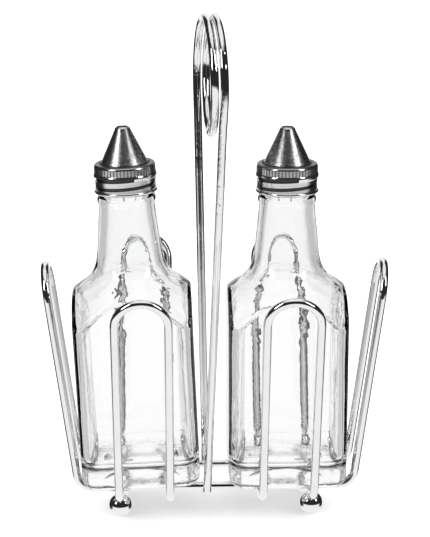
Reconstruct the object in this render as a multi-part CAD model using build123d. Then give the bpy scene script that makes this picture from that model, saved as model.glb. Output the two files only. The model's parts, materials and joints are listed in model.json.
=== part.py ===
"""Cruet set: a welded wire rack with a coiled ring handle, two square glass bottles,
and a screw cap with a pouring spout on each bottle.

Millimetres, +Z up. The origin is on the table, at the middle of the rack's footprint.
The bottles stand side by side along X, and the front of the set faces -Y.
"""

from build123d import *
import math
import os

# ---- the rack's wire and feet ----
WIRE = 3.97             # 5/32 in round wire
PRESS = 0.12            # how far crossing wires sink into each other at a resistance weld
FOOT_D = 11.1           # 7/16 in ball
FOOT_Y = 12.5           # just inside the crossings of rails and bars
FOOT_SINK = 1.4         # how far the wire sinks into the top of a ball

# ---- frame wire: two rails that run out into a leaning hairpin at each end ----
BAR_Z = FOOT_D - FOOT_SINK + WIRE / 2       # cross bars rest on the balls
RAIL_Z = BAR_Z + WIRE - PRESS               # rails cross on top of the bars
RAIL_Y = 14.2
LOOP_LEAN = 7.5         # degrees outward
LOOP_X = 66.7           # where a side leg's line meets the rail's line
LOOP_TOP_Z = 124.0
LOOP_BEND = 8.0

# ---- transverse wires: a closed hairpin front and rear, joined by two cross bars ----
HAIRPIN_X = 34.5
HAIRPIN_HALF = 12.2
HAIRPIN_LEAN = 16.8
HAIRPIN_Y = 28.1        # where a leg's line meets the cross bar's line
HAIRPIN_TOP_Z = 122.5
HAIRPIN_BEND = 17.0

# ---- handle wire: two legs and a ring of one and a half turns ----
HANDLE_X = -4.4
HANDLE_Y = RAIL_Y + WIRE - 2 * PRESS        # the legs end on the outside of the rails
HANDLE_LOW_Z = RAIL_Z - WIRE / 2
END_ROUND = 0.8
RING_R = 26.95
RING_Z = 215.0
RING_PITCH = 4.45
RING_TWIST = 0.0917     # how far the ring is turned out of the YZ plane, as a slope
RING_X = -5.0           # the ring's middle at the start of the coil
COIL_STEPS = 24
COIL_EASE = 20.0        # spacing of the points that lead the coil into each straight leg

# ---- bottles, in a bottle's own frame: its base is at z = 0 on its own axis ----
BOTTLE_W = 57.0
BOTTLE_CORNER = 8.0
BOTTLE_HEEL = 6.0
WALL = 3.3
FLOOR = 11.0
PUSH_UP = 2.6
SHOULDER_Z = 75.0       # where the corners start to turn in
CORNER_R = 37.8         # just outside the body's round corners
CREASE = 3.0            # rounding where the shoulder meets the four panels
CREASE_TOP_Z = 107.0    # above the arched tops of the panels
NECK_R = 13.3
NECK_Z = 135.8
BEAD_R = 13.9
BEAD_TOP_Z = 140.9
FINISH_R = 11.6
FINISH_TOP_Z = 152.2
BORE_R = 9.6
SEAT_GAP = 0.05         # between the bottle's base and the rails it stands on
LEFT_X = -36.0
RIGHT_X = 34.5
LEFT_LEAN = 2.3         # degrees: the left bottle leans out, away from the handle's rear leg

# ---- screw thread ----
PITCH = 4.0
THREAD_Z = 144.4
THREAD_TURNS = 1.3
RIDGE_R = 12.6          # crest of the glass thread
ROLL_R = 12.05          # crest of the collar's rolled thread

# ---- cap ----
COLLAR_BASE_Z = 141.7
COLLAR_TOP_Z = 155.6
COLLAR_R = 14.6
COLLAR_BORE_R = 13.2
LIP_R = 11.5
LIP_T = 1.0
CURL_R = 15.0
KNURLS = 56
KNURL_DEPTH = 0.5
KNURL_W = 0.8
KNURL_H = 3.2
KNURL_ROLL = 2.8        # height of the rolled band under the knurls
GASKET_T = 0.95
GASKET_BORE_R = 8.2
FLANGE_T = 1.2
FLANGE_R = 12.6
SPOUT_R = 11.1
SPOUT_TIP_R = 3.3
SPOUT_TIP_Z = 172.7
SPOUT_WALL = 0.6

os.makedirs("parts", exist_ok=True)


def wire_along(path):
    """Round wire swept along a path, square-cut at both ends."""
    section = Plane(origin=path @ 0, z_dir=path % 0) * Circle(WIRE / 2)
    return sweep(section, path=path)


def bend(before, corner, after, radius):
    """A straight run, a round bend at the corner, and a second straight run."""
    corner = Vector(corner)
    back = (Vector(before) - corner).normalized()
    onward = (Vector(after) - corner).normalized()
    half_angle = math.acos(back.dot(onward)) / 2
    reach = radius / math.tan(half_angle)
    inward = (back + onward).normalized()
    start = corner + back * reach
    middle = corner + inward * (radius / math.sin(half_angle) - radius)
    end = corner + onward * reach
    return Line(before, start) + ThreePointArc(start, middle, end) + Line(end, after)


def save(solid, name):
    """Write one piece to its own STEP file."""
    solid.label = name
    export_step(solid, f"parts/{name}.step")


# ---------------------------------------------------------------- rack

def frame_wire():
    """One closed wire. A quarter is swept, then mirrored front to back and side to side."""
    lean = math.radians(LOOP_LEAN)
    leg = (LOOP_TOP_Z - RAIL_Z) / math.cos(lean) - RAIL_Y

    def on_leg(length, y):
        return (LOOP_X + length * math.sin(lean), y, RAIL_Z + length * math.cos(lean))

    rail_and_leg = bend(
        (0, -RAIL_Y, RAIL_Z), (LOOP_X, -RAIL_Y, RAIL_Z), on_leg(leg, -RAIL_Y), LOOP_BEND
    )
    half = math.sqrt(0.5) * RAIL_Y
    arch = ThreePointArc(on_leg(leg, -RAIL_Y), on_leg(leg + half, -half), on_leg(leg + RAIL_Y, 0))
    quarter = wire_along(rail_and_leg + arch)
    front = quarter + mirror(quarter, about=Plane.YZ)
    return front + mirror(front, about=Plane.XZ)


def hairpin_wire(x):
    """The closed wire that holds one bottle front and rear, and crosses under both rails."""
    lean = math.radians(HAIRPIN_LEAN)
    leg = (HAIRPIN_TOP_Z - BAR_Z) / math.cos(lean) - HAIRPIN_HALF

    def on_leg(length, across):
        return (across, -HAIRPIN_Y - length * math.sin(lean), BAR_Z + length * math.cos(lean))

    bar_and_leg = bend(
        (HAIRPIN_HALF, 0, BAR_Z), (HAIRPIN_HALF, -HAIRPIN_Y, BAR_Z), on_leg(leg, HAIRPIN_HALF),
        HAIRPIN_BEND,
    )
    half = math.sqrt(0.5) * HAIRPIN_HALF
    arch = ThreePointArc(
        on_leg(leg, HAIRPIN_HALF), on_leg(leg + half, half), on_leg(leg + HAIRPIN_HALF, 0)
    )
    quarter = wire_along(bar_and_leg + arch)
    front = quarter + mirror(quarter, about=Plane.YZ)
    return Pos(x, 0, 0) * (front + mirror(front, about=Plane.XZ))


def handle_wire():
    """Two legs that rise from the outside of the rails, and one and a half turns for the hand."""
    reach = math.hypot(HANDLE_Y, RING_Z - HANDLE_LOW_Z)
    lean = math.asin(RING_R / reach) - math.asin(HANDLE_Y / reach)
    start = math.pi + lean
    sweep_angle = 3 * math.pi + 2 * lean

    def on_ring(share):
        angle = start - share * sweep_angle
        forward = RING_R * math.cos(angle)
        turns = share * sweep_angle / math.tau
        x = RING_X + RING_TWIST * forward + RING_PITCH * turns
        return Vector(x, -forward, RING_Z + RING_R * math.sin(angle))

    rear_top = on_ring(0)
    front_top = on_ring(1)
    rear_foot = Vector(HANDLE_X, HANDLE_Y, HANDLE_LOW_Z)
    front_foot = Vector(HANDLE_X, -HANDLE_Y, HANDLE_LOW_Z)

    rear_down = (rear_foot - rear_top).normalized()
    front_down = (front_foot - front_top).normalized()
    below = [COIL_EASE * step for step in (3, 2, 1)]
    coil_points = (
        [rear_top + rear_down * drop for drop in below]
        + [on_ring(step / COIL_STEPS) for step in range(COIL_STEPS + 1)]
        + [front_top + front_down * drop for drop in reversed(below)]
    )
    path = (
        Line(rear_foot, coil_points[0]) + Spline(coil_points) + Line(coil_points[-1], front_foot)
    )
    wire = wire_along(path)
    ends = [edge for edge in wire.edges() if edge.center().Z < RAIL_Z]
    return fillet(ends, END_ROUND)


def ball_foot(side, end):
    """A ball welded under the outer cross bar of a hairpin wire."""
    x = side * (HAIRPIN_X + HAIRPIN_HALF)
    return Pos(x, end * FOOT_Y, FOOT_D / 2) * Sphere(FOOT_D / 2)


# ---------------------------------------------------------------- bottle and cap

def block(half_width, corner, low, high):
    """A square column with round corners, from z = low to z = high."""
    side = RectangleRounded(2 * half_width, 2 * half_width, corner)
    return Pos(0, 0, low) * extrude(side, high - low)


def turned(outline):
    """A closed outline in the XZ plane, turned about Z."""
    return revolve(make_face(Plane.XZ * outline), axis=Axis.Z)


def thread(root_r, crest_r, root_w, crest_w):
    """A helical ridge, square-cut at both ends, that can be added or cut."""
    helix = Helix(PITCH, PITCH * THREAD_TURNS, root_r, center=(0, 0, THREAD_Z))
    depth = crest_r - root_r
    shape = make_face(
        Polyline(
            (0, -root_w / 2), (depth, -crest_w / 2), (depth, crest_w / 2), (0, root_w / 2),
            close=True,
        )
    )
    section = Plane(origin=(root_r, 0, THREAD_Z), x_dir=(1, 0, 0), z_dir=(0, -1, 0)) * shape
    return sweep(section, path=helix, is_frenet=True)


def shoulder_curve(low_r, low_z, inset):
    """The curve of the shoulder and neck, up from the body's corner to the bead or the bore."""
    drop = inset / 2
    points = [
        (low_r, low_z),
        (33.9 - inset, 87.0 - drop),
        (28.8 - inset, 94.3 - drop),
        (22.6 - inset, 99.0 - drop),
        (18.2 - inset, 103.5 - drop),
        (15.9 - inset, 110.0),
        (14.9 - inset, 119.0),
        (NECK_R - inset, NECK_Z),
    ]
    return Spline(points, tangents=[(0, 1), (-0.08, 1)])


def bottle():
    """A thick square bottle: flat panels with arched tops, a round neck and a threaded finish."""
    half = BOTTLE_W / 2
    top = FINISH_TOP_Z
    outline = (
        Polyline((0, -1), (CORNER_R, -1), (CORNER_R, SHOULDER_Z))
        + shoulder_curve(CORNER_R, SHOULDER_Z, 0)
        + Polyline((NECK_R, NECK_Z), (NECK_R, NECK_Z + 0.4))
        + ThreePointArc((NECK_R, NECK_Z + 0.4), (BEAD_R, NECK_Z + 2.2), (BEAD_R - 0.3, NECK_Z + 4))
        + Polyline(
            (BEAD_R - 0.3, NECK_Z + 4), (FINISH_R + 0.6, BEAD_TOP_Z), (FINISH_R, BEAD_TOP_Z + 0.6),
            (FINISH_R, top - 0.8), (FINISH_R - 0.8, top), (0, top), (0, -1),
        )
    )
    body = block(half, BOTTLE_CORNER, 0, top + 1)
    body = fillet(body.faces().sort_by(Axis.Z)[0].edges(), BOTTLE_HEEL)
    body = body & turned(outline)
    creases = [edge for edge in body.edges() if SHOULDER_Z < edge.center().Z < CREASE_TOP_Z]
    body = fillet(creases, CREASE)

    inner_r = CORNER_R - WALL
    inner_z = SHOULDER_Z - WALL / 2
    hollow_outline = (
        Polyline((0, FLOOR - 1), (inner_r, FLOOR - 1), (inner_r, inner_z))
        + shoulder_curve(inner_r, inner_z, WALL)
        + Polyline(
            (NECK_R - WALL, NECK_Z), (BORE_R, NECK_Z + 6), (BORE_R, top + 1), (0, top + 1),
            (0, FLOOR - 1),
        )
    )
    hollow = block(half - WALL, BOTTLE_CORNER - 2, FLOOR, top + 1)
    hollow = fillet(hollow.faces().sort_by(Axis.Z)[0].edges(), BOTTLE_HEEL - 0.5)
    hollow = hollow & turned(hollow_outline)

    dish_half = half - BOTTLE_HEEL - 4
    dish_r = (dish_half**2 + PUSH_UP**2) / (2 * PUSH_UP)
    dish = Pos(0, 0, PUSH_UP - dish_r) * Sphere(dish_r)
    glass_thread = thread(FINISH_R - 0.2, RIDGE_R, 2.1, 1.1)
    return body - hollow - dish + glass_thread


def collar():
    """The screw collar: rounded rim, knurled band, and a thread rolled right through the wall."""
    base = COLLAR_BASE_Z
    top = COLLAR_TOP_Z
    knurl_low = top - 4.2
    outline = (
        Polyline((COLLAR_BORE_R, base + 0.5), (COLLAR_BORE_R + 0.5, base), (CURL_R - 0.8, base))
        + ThreePointArc((CURL_R - 0.8, base), (CURL_R, base + 0.9), (CURL_R - 0.7, base + 1.8))
        + Polyline((CURL_R - 0.7, base + 1.8), (COLLAR_R - 0.1, knurl_low - KNURL_ROLL))
        + ThreePointArc(
            (COLLAR_R - 0.1, knurl_low - KNURL_ROLL),
            (CURL_R, knurl_low - KNURL_ROLL / 2),
            (COLLAR_R, knurl_low),
        )
        + Polyline((COLLAR_R, knurl_low), (COLLAR_R, top - 1.4))
        + ThreePointArc((COLLAR_R, top - 1.4), (COLLAR_R - 0.4, top - 0.4), (COLLAR_R - 1.4, top))
        + Polyline(
            (COLLAR_R - 1.4, top), (LIP_R + 0.5, top - 0.3), (LIP_R, top - LIP_T),
            (COLLAR_BORE_R, top - LIP_T), (COLLAR_BORE_R, base + 0.5),
        )
    )
    ring = turned(outline)
    groove = Rot(0, 0, 180) * thread(COLLAR_R - 0.8, COLLAR_R + 1.2, 1.0, 3.4)
    ridge = Rot(0, 0, 180) * thread(COLLAR_BORE_R + 0.2, ROLL_R, 2.1, 1.0)
    notch = Box(2 * KNURL_DEPTH, KNURL_W, KNURL_H)
    notches = [
        Rot(0, 0, 360 * count / KNURLS) * Pos(COLLAR_R + 0.1, 0, knurl_low + 1.2) * notch
        for count in range(KNURLS)
    ]
    return ring - groove - notches + ridge


def gasket():
    """The soft washer that seals the spout's flange on the glass."""
    low = FINISH_TOP_Z + SEAT_GAP
    washer = Circle(FLANGE_R - 0.5) - Circle(GASKET_BORE_R)
    return Pos(0, 0, low) * extrude(washer, GASKET_T)


def spout():
    """A thin open cone on a flange that the collar's lip clamps down."""
    low = FINISH_TOP_Z + SEAT_GAP + GASKET_T
    shelf = low + FLANGE_T
    foot = COLLAR_TOP_Z + 0.3
    inner = SPOUT_R - SPOUT_WALL
    bore = SPOUT_TIP_R - SPOUT_WALL
    outline = (
        Polyline((inner - 0.9, low), (FLANGE_R, low), (FLANGE_R, shelf), (SPOUT_R, shelf))
        + Polyline((SPOUT_R, shelf), (SPOUT_R, foot), (SPOUT_TIP_R + 0.5, SPOUT_TIP_Z - 1.4))
        + ThreePointArc(
            (SPOUT_TIP_R + 0.5, SPOUT_TIP_Z - 1.4),
            (SPOUT_TIP_R, SPOUT_TIP_Z - 0.4),
            (bore, SPOUT_TIP_Z),
        )
        + Polyline((bore, SPOUT_TIP_Z), (bore, SPOUT_TIP_Z - 1.0), (inner, foot - 0.2))
        + Polyline((inner, foot - 0.2), (inner - 0.9, low))
    )
    return turned(outline)


# ---------------------------------------------------------------- assembly

def bottle_place(side):
    """Where a bottle stands. The left one is tilted about its outer heel."""
    rest_z = RAIL_Z + WIRE / 2 + SEAT_GAP
    if side > 0:
        return Pos(RIGHT_X, 0, rest_z)
    heel = BOTTLE_W / 2 - BOTTLE_HEEL
    return Pos(LEFT_X - heel, 0, rest_z) * Rot(0, -LEFT_LEAN, 0) * Pos(heel, 0, 0)


save(frame_wire(), "frame_wire")
save(handle_wire(), "handle_wire")
for side, side_name in ((-1, "left"), (1, "right")):
    save(hairpin_wire(side * HAIRPIN_X), f"hairpin_wire_{side_name}")
    for end, end_name in ((-1, "front"), (1, "rear")):
        save(ball_foot(side, end), f"ball_foot_{end_name}_{side_name}")

pieces = {"bottle": bottle(), "collar": collar(), "gasket": gasket(), "spout": spout()}
for side, side_name in ((-1, "left"), (1, "right")):
    place = bottle_place(side)
    for name, piece in pieces.items():
        save(place * piece, f"{name}_{side_name}")
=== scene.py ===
"""Looks for the cruet set: chrome wire rack, clear square bottles, steel caps."""

import json
import math

import bpy
from mathutils import Matrix, Vector

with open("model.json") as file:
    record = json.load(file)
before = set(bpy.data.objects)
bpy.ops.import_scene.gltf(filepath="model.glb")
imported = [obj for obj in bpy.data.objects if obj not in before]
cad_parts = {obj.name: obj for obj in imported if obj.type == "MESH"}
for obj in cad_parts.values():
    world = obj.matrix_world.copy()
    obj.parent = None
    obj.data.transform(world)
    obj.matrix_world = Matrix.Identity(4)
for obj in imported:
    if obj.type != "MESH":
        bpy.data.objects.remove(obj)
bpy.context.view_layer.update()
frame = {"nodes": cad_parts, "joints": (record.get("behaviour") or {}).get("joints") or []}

SIDES = ("left", "right")
NODES = frame["nodes"]

# ---------------------------------------------------------------- shader helper


class Link:
    """One node socket. Sums on it add Math nodes, and plain numbers stay plain."""

    tree = None

    def __init__(self, socket):
        self.socket = socket

    @classmethod
    def node(cls, kind, settings=None, out=0, **inputs):
        """Adds a node, sets it up, then sets or links its sockets by name or number."""
        made = cls.tree.nodes.new(kind)
        for name, value in (settings or {}).items():
            setattr(made, name, value)
        for name, value in inputs.items():
            key = int(name[1:]) if name[0] == "i" and name[1:].isdigit() else name.replace("_", " ")
            if isinstance(value, Link):
                cls.tree.links.new(value.socket, made.inputs[key])
            else:
                made.inputs[key].default_value = value
        return cls(made.outputs[out])

    def _math(self, operation, other, swap=False):
        first, second = (other, self) if swap else (self, other)
        return Link.node("ShaderNodeMath", {"operation": operation}, i0=first, i1=second)

    def __add__(self, other):
        return self._math("ADD", other)

    def __sub__(self, other):
        return self._math("SUBTRACT", other)

    def __mul__(self, other):
        return self._math("MULTIPLY", other)

    def __rsub__(self, other):
        return self._math("SUBTRACT", other, swap=True)

    __radd__ = __add__
    __rmul__ = __mul__

    def clamp(self, low, high):
        """0 below low, 1 above high, and smooth between them."""
        return Link.node(
            "ShaderNodeMapRange", {"interpolation_type": "SMOOTHSTEP"},
            i0=self, i1=low, i2=high, i3=0.0, i4=1.0,
        )


def noise(place, scale, detail=3.0, roughness=0.5):
    """Grey noise, about 0 to 1. Its size is in metres, because the place is."""
    return Link.node(
        "ShaderNodeTexNoise", Vector=place, Scale=scale, Detail=detail, Roughness=roughness
    )


def blend(share, first, second):
    """A colour between two, by share."""
    return Link.node(
        "ShaderNodeMix", {"data_type": "RGBA"}, out=2, i0=share, i6=(*first, 1.0), i7=(*second, 1.0)
    )


def bump(height, distance, strength=1.0):
    """A height field as a surface normal."""
    return Link.node("ShaderNodeBump", Height=height, Distance=distance, Strength=strength)


def material(name, paint, **constants):
    """A new material. paint() returns what varies; the constants go on the shader's own sockets."""
    made = bpy.data.materials.new(name)
    made.use_nodes = True
    Link.tree = made.node_tree
    shader = made.node_tree.nodes["Principled BSDF"]
    for key, value in constants.items():
        shader.inputs[key.replace("_", " ")].default_value = value
    for key, value in paint().items():
        made.node_tree.links.new(value.socket, shader.inputs[key.replace("_", " ")])
    return made


def place_on_object(centre=(0, 0, 0)):
    """Object coordinates, measured from a centre."""
    spot = Link.node("ShaderNodeTexCoord", out=3)
    return Link.node("ShaderNodeVectorMath", {"operation": "SUBTRACT"}, i0=spot, i1=centre)


def along(place, axis):
    """How far a place is along an axis."""
    return Link.node("ShaderNodeVectorMath", {"operation": "DOT_PRODUCT"}, out=1, i0=place, i1=axis)


# ---------------------------------------------------------------- where things are

JOINTS = {joint["name"]: joint for joint in frame["joints"]}


def bottle_axis(side):
    """A point on a bottle's axis and the axis itself, as a unit vector."""
    joint = JOINTS[f"cap_{side}_turn"]
    return Vector(joint["pos_m"]), Vector(joint["axis"]).normalized()


# ---------------------------------------------------------------- materials

# Bands along a bottle's axis, in metres from the cap joint's point. Each pair is where
# the effect starts and where it is complete.
SHOULDER_STARTS = (-0.080, -0.070)
SHOULDER_ENDS = (-0.055, -0.035)
BASE_BAND = (-0.146, -0.126)
FOOT_BAND = (-0.149, -0.143)

# Painted shade on the glass: a grey colour where the surface is seen at a slant, standing in for dark
# edges.
GLASS_EDGE_BLEND = 0.35
GLASS_EDGE_BAND = (0.45, 0.95)
GLASS_CLEAR = (0.992, 0.997, 0.994)
GLASS_EDGE_PAINTED_SHADE = (0.50, 0.52, 0.52)

# Painted shade: the collar's grooves and knurls are coloured darker than its crests, by distance from
# its axis.
COLLAR_CREST_BAND = (0.01385, 0.0146)

def chrome():
    """Bright plate: faint clouding from handling, and a little pitting."""
    spot = place_on_object()
    cloud = noise(spot, scale=90.0, detail=4.0)
    fine = noise(spot, scale=1800.0, detail=2.0)
    return {
        "Base_Color": blend(cloud, (0.80, 0.80, 0.81), (0.90, 0.90, 0.905)),
        "Roughness": cloud.clamp(0.35, 0.8) * 0.03 + fine * 0.02 + 0.03,
        "Normal": bump(fine * 0.6 + cloud, distance=0.00002, strength=0.5),
    }


def clear_glass(side):
    """Pressed glass: slow waves from the mould, fine orange peel, and painted shade that turns the
    edges grey.
    """
    point, axis = bottle_axis(side)
    spot = place_on_object(tuple(point))
    slow = noise(spot, scale=55.0, detail=1.0)
    peel = noise(spot, scale=420.0, detail=2.0)
    swirl = noise(spot, scale=120.0, detail=2.0)
    height = along(spot, tuple(axis))
    shoulder = height.clamp(*SHOULDER_STARTS) * (1.0 - height.clamp(*SHOULDER_ENDS))
    base = 1.0 - height.clamp(*BASE_BAND)
    foot = 1.0 - height.clamp(*FOOT_BAND)
    stipple = noise(spot, scale=1300.0, detail=1.0)
    # Painted shade: the glass's colour greys towards edges seen at a slant, standing in for dark
    # refraction there.
    facing = Link.node("ShaderNodeLayerWeight", out=1, Blend=GLASS_EDGE_BLEND)
    painted_edge_shade = facing.clamp(*GLASS_EDGE_BAND)
    waves = slow + peel * 0.05 + (shoulder + base) * swirl * 0.9 + foot * stipple * 0.25
    return {
        "Base_Color": blend(painted_edge_shade * (slow * 0.3 + 0.75), GLASS_CLEAR, GLASS_EDGE_PAINTED_SHADE),
        "Roughness": foot * stipple * 0.12 + slow * 0.01,
        "Normal": bump(waves, distance=0.0008, strength=0.4),
    }


def plated_collar(side):
    """Thin plated sheet: bright crests, duller in the grooves and knurls, with painted shade
    darkening them.
    """
    point, axis = bottle_axis(side)
    spot = place_on_object(tuple(point))
    height = along(spot, tuple(axis))
    flat = Link.node(
        "ShaderNodeVectorMath", {"operation": "CROSS_PRODUCT"}, i0=spot, i1=tuple(axis)
    )
    radius = Link.node("ShaderNodeVectorMath", {"operation": "LENGTH"}, out=1, i0=flat)
    crest = radius.clamp(*COLLAR_CREST_BAND)
    smear = noise(spot, scale=260.0, detail=4.0)
    ring = Link.node("ShaderNodeCombineXYZ", {}, X=radius * 300.0, Y=height * 3500.0, Z=0.0)
    lines = noise(ring, scale=1.0, detail=3.0)
    return {
        # Painted shade: a near-black colour in the grooves and knurls, where shade falls; the smear
        # noise varies the crests.
        "Base_Color": blend(crest * (smear * 0.25 + 0.8), (0.10, 0.10, 0.105), (0.92, 0.92, 0.93)),
        "Roughness": 0.26 - crest * 0.14 + smear * 0.08,
        "Normal": bump(lines + smear * 0.5, distance=0.00003, strength=0.5),
    }


def turned_steel(side):
    """Lathe-finished spout: fine rings round the cone, and light handling marks."""
    point, axis = bottle_axis(side)
    spot = place_on_object(tuple(point))
    height = along(spot, tuple(axis))
    ring = Link.node("ShaderNodeCombineXYZ", {}, X=height * 5200.0, Y=0.0, Z=0.0)
    lines = noise(ring, scale=1.0, detail=4.0, roughness=0.7)
    broken = noise(spot, scale=900.0, detail=3.0)
    smear = noise(spot, scale=120.0, detail=4.0)
    grain = (lines * 0.3 + broken * 0.7).clamp(0.30, 0.70)
    return {
        "Base_Color": blend(grain * 0.7 + smear * 0.3, (0.34, 0.335, 0.33), (0.86, 0.855, 0.85)),
        "Roughness": lines * 0.10 + smear * 0.08 + 0.17,
        "Normal": bump(lines + broken * 0.6, distance=0.00008, strength=0.8),
    }


def seal_rubber():
    """Soft white washer with a matt, slightly dusty skin."""
    spot = place_on_object()
    dust = noise(spot, scale=300.0, detail=4.0)
    return {
        "Base_Color": blend(dust, (0.72, 0.72, 0.70), (0.84, 0.84, 0.82)),
        "Roughness": dust * 0.2 + 0.5,
        "Normal": bump(dust, distance=0.0001, strength=0.5),
    }


def pale_floor():
    """A matt white table."""
    spot = place_on_object()
    grain = noise(spot, scale=40.0, detail=3.0)
    return {
        "Base_Color": blend(grain, (0.925, 0.925, 0.925), (0.94, 0.94, 0.94)),
        "Roughness": grain * 0.1 + 0.6,
    }


def paint(node, made):
    """Gives a node its material in every slot."""
    mesh = NODES[node].data
    if not mesh.materials:
        mesh.materials.append(made)
    for slot in range(len(mesh.materials)):
        mesh.materials[slot] = made


chrome_plate = material("chrome_plate", chrome, Metallic=1.0)
for name in ("frame_wire", "handle_wire", "hairpin_wire_left", "hairpin_wire_right"):
    paint(name, chrome_plate)
for side in SIDES:
    for end in ("front", "rear"):
        paint(f"ball_foot_{end}_{side}", chrome_plate)
    paint(
        f"bottle_{side}",
        material(f"clear_glass_{side}", lambda: clear_glass(side), Transmission_Weight=1.0, IOR=1.5),
    )
    paint(f"collar_{side}", material(f"plated_{side}", lambda: plated_collar(side), Metallic=1.0))
    paint(f"spout_{side}", material(f"turned_steel_{side}", lambda: turned_steel(side), Metallic=1.0))
white_seal = material("white_seal", seal_rubber)
for side in SIDES:
    paint(f"gasket_{side}", white_seal)

# ---------------------------------------------------------------- floor, light, camera

FLOOR_R = 9.0
FLOOR_SIDES = 96
FLOOR_GLOW = 0.28
bpy.ops.object.select_all(action="DESELECT")
bpy.ops.mesh.primitive_circle_add(
    vertices=FLOOR_SIDES, radius=FLOOR_R, fill_type="NGON", location=(0, 0, 0)
)
floor = bpy.context.object
floor.name = "floor"
floor_white = material(
    "pale_floor", pale_floor, Emission_Color=(1.0, 1.0, 1.0, 1.0), Emission_Strength=FLOOR_GLOW
)
floor.data.materials.append(floor_white)
# Chrome and glass see the studio pattern below instead of the table.
floor.visible_glossy = False
floor.visible_transmission = False


def softbox(name, where, aim, size, watts):
    """A rectangular area light aimed at a point."""
    lamp = bpy.data.lights.new(name, "AREA")
    lamp.shape = "RECTANGLE"
    lamp.size, lamp.size_y = size
    lamp.energy = watts
    made = bpy.data.objects.new(name, lamp)
    made.location = where
    made.rotation_euler = (Vector(aim) - Vector(where)).to_track_quat("-Z", "Y").to_euler()
    bpy.context.scene.collection.objects.link(made)


LIGHT_AIM = (0, 0, 0.12)
softbox("key_softbox", where=(-1.0, -0.72, 0.85), aim=LIGHT_AIM, size=(0.34, 0.8), watts=5.0)
softbox("fill_softbox", where=(1.0, -0.62, 0.85), aim=LIGHT_AIM, size=(0.28, 0.8), watts=3.8)

# Limits of the studio's white parts. The heights are the upward part of a unit direction
# and the others are how squarely a level direction points at the back wall.
TABLE_HEIGHT_BAND = (-0.30, -0.17)
TABLE_BACK_BAND = (-0.25, 0.15)
WALL_BACK_BAND = (0.88, 0.97)
FLOOR_HEIGHT_BAND = (-0.64, -0.46)
CEILING_HEIGHT_BAND = (0.74, 0.92)
ROOM_DARKNESS = 0.975
ROOM_LIGHTER_THROUGH_GLASS = 0.55
SOFT_LIGHT_EXTRA = 0.28


def studio_sky():
    """White table, back wall and ceiling, and a dark room in front and at both sides.

    The room shows in chrome and steel, and faintly through glass. The background that the
    camera sees and the light on the table are plain white.
    """
    world = bpy.data.worlds.new("studio")
    bpy.context.scene.world = world
    world.use_nodes = True
    Link.tree = world.node_tree
    way = Link.node("ShaderNodeTexCoord", out=0)
    up = along(way, (0, 0, 1))
    level = Link.node("ShaderNodeVectorMath", {"operation": "MULTIPLY"}, i0=way, i1=(1, 1, 0))
    level = Link.node("ShaderNodeVectorMath", {"operation": "NORMALIZE"}, i0=level)
    back = along(level, (0, 1, 0))
    not_wall = 1.0 - back.clamp(*WALL_BACK_BAND)
    not_table = 1.0 - (1.0 - up.clamp(*TABLE_HEIGHT_BAND)) * (1.0 - back.clamp(*TABLE_BACK_BAND))
    not_floor = up.clamp(*FLOOR_HEIGHT_BAND)
    not_ceiling = 1.0 - up.clamp(*CEILING_HEIGHT_BAND)
    room = not_wall * not_table * not_floor * not_ceiling
    from_camera = Link.node("ShaderNodeLightPath", out=0)
    soft = Link.node("ShaderNodeLightPath", out=2)
    through = Link.node("ShaderNodeLightPath", out=6)
    darkness = ROOM_DARKNESS - through * ROOM_LIGHTER_THROUGH_GLASS
    shown = darkness * (1.0 - from_camera) * (1.0 - soft)
    white = 1.0 - room * shown + soft * SOFT_LIGHT_EXTRA
    background = world.node_tree.nodes["Background"]
    grey = Link.node("ShaderNodeCombineColor", i0=white, i1=white, i2=white)
    world.node_tree.links.new(grey.socket, background.inputs["Color"])
    background.inputs["Strength"].default_value = 1.0


studio_sky()

CAMERA_AT = Vector((-0.02136, -0.800, 0.3454))
CAMERA_DOWN = 0.2728
CAMERA_RIGHT = 0.027
CAMERA_ROLL = -0.003
LENS = 116.2
SENSOR_WIDTH = 36
NEAREST = 0.01


def aim_camera():
    """A long lens, a little above the bottles and slightly left of the middle."""
    lens = bpy.data.cameras.new("camera")
    lens.lens = LENS
    lens.sensor_width = SENSOR_WIDTH
    lens.clip_start = NEAREST
    camera = bpy.data.objects.new("camera", lens)
    bpy.context.scene.collection.objects.link(camera)
    turn = (
        Matrix.Rotation(-CAMERA_RIGHT, 4, "Z")
        @ Matrix.Rotation(math.pi / 2 - CAMERA_DOWN, 4, "X")
        @ Matrix.Rotation(CAMERA_ROLL, 4, "Z")
    )
    camera.matrix_world = Matrix.Translation(CAMERA_AT) @ turn
    bpy.context.scene.camera = camera


aim_camera()
bpy.context.scene.view_settings.view_transform = "Standard"
bpy.context.scene.view_settings.look = "None"
